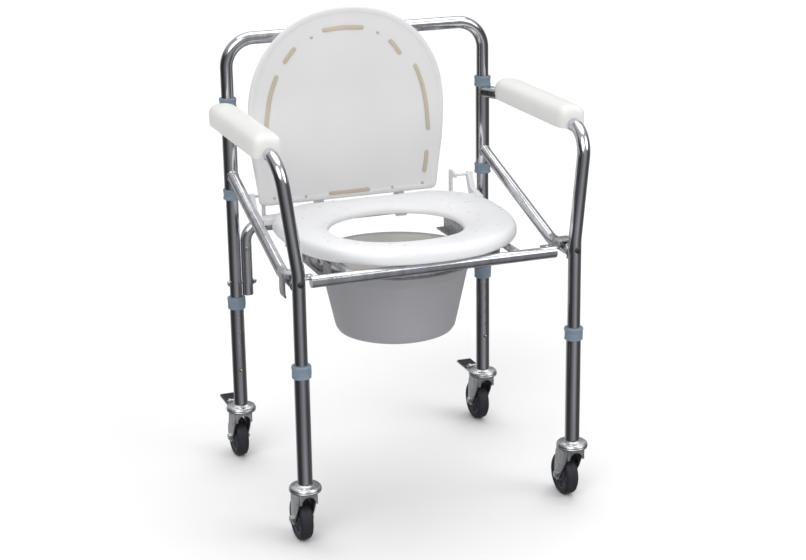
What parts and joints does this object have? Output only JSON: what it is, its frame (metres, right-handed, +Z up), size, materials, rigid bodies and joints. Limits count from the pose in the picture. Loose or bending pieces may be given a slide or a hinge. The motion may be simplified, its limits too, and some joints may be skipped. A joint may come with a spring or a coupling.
{
  "type": "commode chair",
  "caption": "Folding steel commode chair on casters, with armrests, a hinged seat and lid, and a pail that slides out under the seat.",
  "frame": {"origin": "on the floor, under the middle of the chair's box", "axes": "+Z up; the chair faces -Y; +X to its left hand side"},
  "size_m": [0.589, 0.5191, 0.837],
  "materials": {
    "chrome_tube": "polished chrome plate on steel tube",
    "zinc_plate": "zinc plated pressed steel",
    "white_shell": "white moulded plastic, satin gloss",
    "white_pad": "white moulded plastic, fine grain",
    "grey_plastic": "grey moulded polypropylene",
    "collar_plastic": "blue-grey moulded plastic",
    "beige_rubber": "soft beige strip",
    "black_plastic": "black moulded plastic",
    "tyre": "dark solid tyre",
    "brass_button": "brass plated"
  },
  "bodies": {
    "root": {"backrest_tube": "chrome_tube", "rear_cross_tube": "chrome_tube", "swivel_sleeve_left": "chrome_tube", "post_collar_upper_left": "collar_plastic", "post_collar_lower_left": "collar_plastic", "arm_and_leg_tube_left": "chrome_tube", "arm_pad_left": "white_pad", "diagonal_brace_left": "chrome_tube", "leg_plug_left": "black_plastic", "cross_tube_bolt_left": "zinc_plate", "lid_bracket_left": "white_shell", "swivel_sleeve_right": "chrome_tube", "post_collar_upper_right": "collar_plastic", "post_collar_lower_right": "collar_plastic", "arm_and_leg_tube_right": "chrome_tube", "arm_pad_right": "white_pad", "diagonal_brace_right": "chrome_tube", "leg_plug_right": "black_plastic", "cross_tube_bolt_right": "zinc_plate", "lid_bracket_right": "white_shell"},
    "seat_frame": {"front_crossbar": "chrome_tube", "hook_left": "zinc_plate", "side_rail_left": "zinc_plate", "pail_rail_left": "zinc_plate", "hook_right": "zinc_plate", "side_rail_right": "zinc_plate", "pail_rail_right": "zinc_plate"},
    "seat": {"seat": "white_shell"},
    "lid": {"lid": "white_shell", "lid_bumper_left": "beige_rubber", "lid_bumper_right": "beige_rubber"},
    "pail": {"pail": "grey_plastic"},
    "bail": {"pail_bail": "zinc_plate"},
    "leg_front_left": {"lower_leg_front_left": "chrome_tube", "leg_collar_front_left": "collar_plastic"},
    "button_front_left": {"snap_button_front_left": "brass_button"},
    "caster_front_left": {"caster_fork_front_left": "zinc_plate", "caster_axle_front_left": "zinc_plate"},
    "wheel_front_left": {"caster_wheel_front_left": "tyre"},
    "leg_front_right": {"lower_leg_front_right": "chrome_tube", "leg_collar_front_right": "collar_plastic"},
    "button_front_right": {"snap_button_front_right": "brass_button"},
    "caster_front_right": {"caster_fork_front_right": "zinc_plate", "caster_axle_front_right": "zinc_plate"},
    "wheel_front_right": {"caster_wheel_front_right": "tyre"},
    "leg_rear_left": {"lower_leg_rear_left": "chrome_tube", "leg_collar_rear_left": "collar_plastic"},
    "button_rear_left": {"snap_button_rear_left": "brass_button"},
    "caster_rear_left": {"caster_fork_rear_left": "zinc_plate", "caster_axle_rear_left": "zinc_plate"},
    "wheel_rear_left": {"caster_wheel_rear_left": "tyre"},
    "pedal_rear_left": {"brake_pedal_rear_left": "black_plastic"},
    "leg_rear_right": {"lower_leg_rear_right": "chrome_tube", "leg_collar_rear_right": "collar_plastic"},
    "button_rear_right": {"snap_button_rear_right": "brass_button"},
    "caster_rear_right": {"caster_fork_rear_right": "zinc_plate", "caster_axle_rear_right": "zinc_plate"},
    "wheel_rear_right": {"caster_wheel_rear_right": "tyre"},
    "pedal_rear_right": {"brake_pedal_rear_right": "black_plastic"}
  },
  "joints": [
    {"name": "seat_frame_lift", "type": "hinge", "parent": "root", "child": "seat_frame", "pos_m": [0, 0.167, 0.452], "axis": [-1, 0, 0], "range_deg": [0, 8]},
    {"name": "seat_lift", "type": "hinge", "parent": "seat_frame", "child": "seat", "pos_m": [0, 0.154, 0.507], "axis": [-1, 0, 0], "range_deg": [0, 70]},
    {"name": "lid_hinge", "type": "hinge", "parent": "root", "child": "lid", "pos_m": [0, 0.154, 0.507], "axis": [-1, 0, 0], "range_deg": [-90, 0]},
    {"name": "pail_slide", "type": "slide", "parent": "seat_frame", "child": "pail", "axis": [0, 1, 0], "range_m": [0, 0.35]},
    {"name": "bail_hinge", "type": "hinge", "parent": "pail", "child": "bail", "pos_m": [0, -0.008, 0.4216], "axis": [-1, 0, 0], "range_deg": [0, 12]},
    {"name": "height_front_left", "type": "slide", "parent": "root", "child": "leg_front_left", "axis": [0, 0, -1], "range_m": [0, 0.1016]},
    {"name": "snap_front_left", "type": "slide", "parent": "leg_front_left", "child": "button_front_left", "axis": [0, -1, 0], "range_m": [0, 0.0034], "stiffness_N_per_m": 1500, "springref_m": -0.001},
    {"name": "swivel_front_left", "type": "hinge", "parent": "leg_front_left", "child": "caster_front_left", "pos_m": [-0.245, -0.227, 0.112], "axis": [0, 0, 1], "continuous": true},
    {"name": "roll_front_left", "type": "hinge", "parent": "caster_front_left", "child": "wheel_front_left", "pos_m": [-0.245, -0.1994, 0.0375], "axis": [1, 0, 0], "continuous": true},
    {"name": "height_front_right", "type": "slide", "parent": "root", "child": "leg_front_right", "axis": [0, 0, -1], "range_m": [0, 0.1016]},
    {"name": "snap_front_right", "type": "slide", "parent": "leg_front_right", "child": "button_front_right", "axis": [0, -1, 0], "range_m": [0, 0.0034], "stiffness_N_per_m": 1500, "springref_m": -0.001},
    {"name": "swivel_front_right", "type": "hinge", "parent": "leg_front_right", "child": "caster_front_right", "pos_m": [0.245, -0.227, 0.112], "axis": [0, 0, 1], "continuous": true},
    {"name": "roll_front_right", "type": "hinge", "parent": "caster_front_right", "child": "wheel_front_right", "pos_m": [0.245, -0.1994, 0.0375], "axis": [1, 0, 0], "continuous": true},
    {"name": "height_rear_left", "type": "slide", "parent": "root", "child": "leg_rear_left", "axis": [0, 0, -1], "range_m": [0, 0.1016]},
    {"name": "snap_rear_left", "type": "slide", "parent": "leg_rear_left", "child": "button_rear_left", "axis": [0, 1, 0], "range_m": [0, 0.0034], "stiffness_N_per_m": 1500, "springref_m": -0.001},
    {"name": "swivel_rear_left", "type": "hinge", "parent": "leg_rear_left", "child": "caster_rear_left", "pos_m": [-0.2437, 0.167, 0.112], "axis": [0, 0, 1], "continuous": true},
    {"name": "roll_rear_left", "type": "hinge", "parent": "caster_rear_left", "child": "wheel_rear_left", "pos_m": [-0.2437, 0.1946, 0.0375], "axis": [1, 0, 0], "continuous": true},
    {"name": "brake_rear_left", "type": "hinge", "parent": "caster_rear_left", "child": "pedal_rear_left", "pos_m": [-0.2437, 0.207, 0.103], "axis": [-1, 0, 0], "range_deg": [0, 14]},
    {"name": "height_rear_right", "type": "slide", "parent": "root", "child": "leg_rear_right", "axis": [0, 0, -1], "range_m": [0, 0.1016]},
    {"name": "snap_rear_right", "type": "slide", "parent": "leg_rear_right", "child": "button_rear_right", "axis": [0, 1, 0], "range_m": [0, 0.0034], "stiffness_N_per_m": 1500, "springref_m": -0.001},
    {"name": "swivel_rear_right", "type": "hinge", "parent": "leg_rear_right", "child": "caster_rear_right", "pos_m": [0.2437, 0.167, 0.112], "axis": [0, 0, 1], "continuous": true},
    {"name": "roll_rear_right", "type": "hinge", "parent": "caster_rear_right", "child": "wheel_rear_right", "pos_m": [0.2437, 0.1946, 0.0375], "axis": [1, 0, 0], "continuous": true},
    {"name": "brake_rear_right", "type": "hinge", "parent": "caster_rear_right", "child": "pedal_rear_right", "pos_m": [0.2437, 0.207, 0.103], "axis": [-1, 0, 0], "range_deg": [0, 14]}
  ]
}
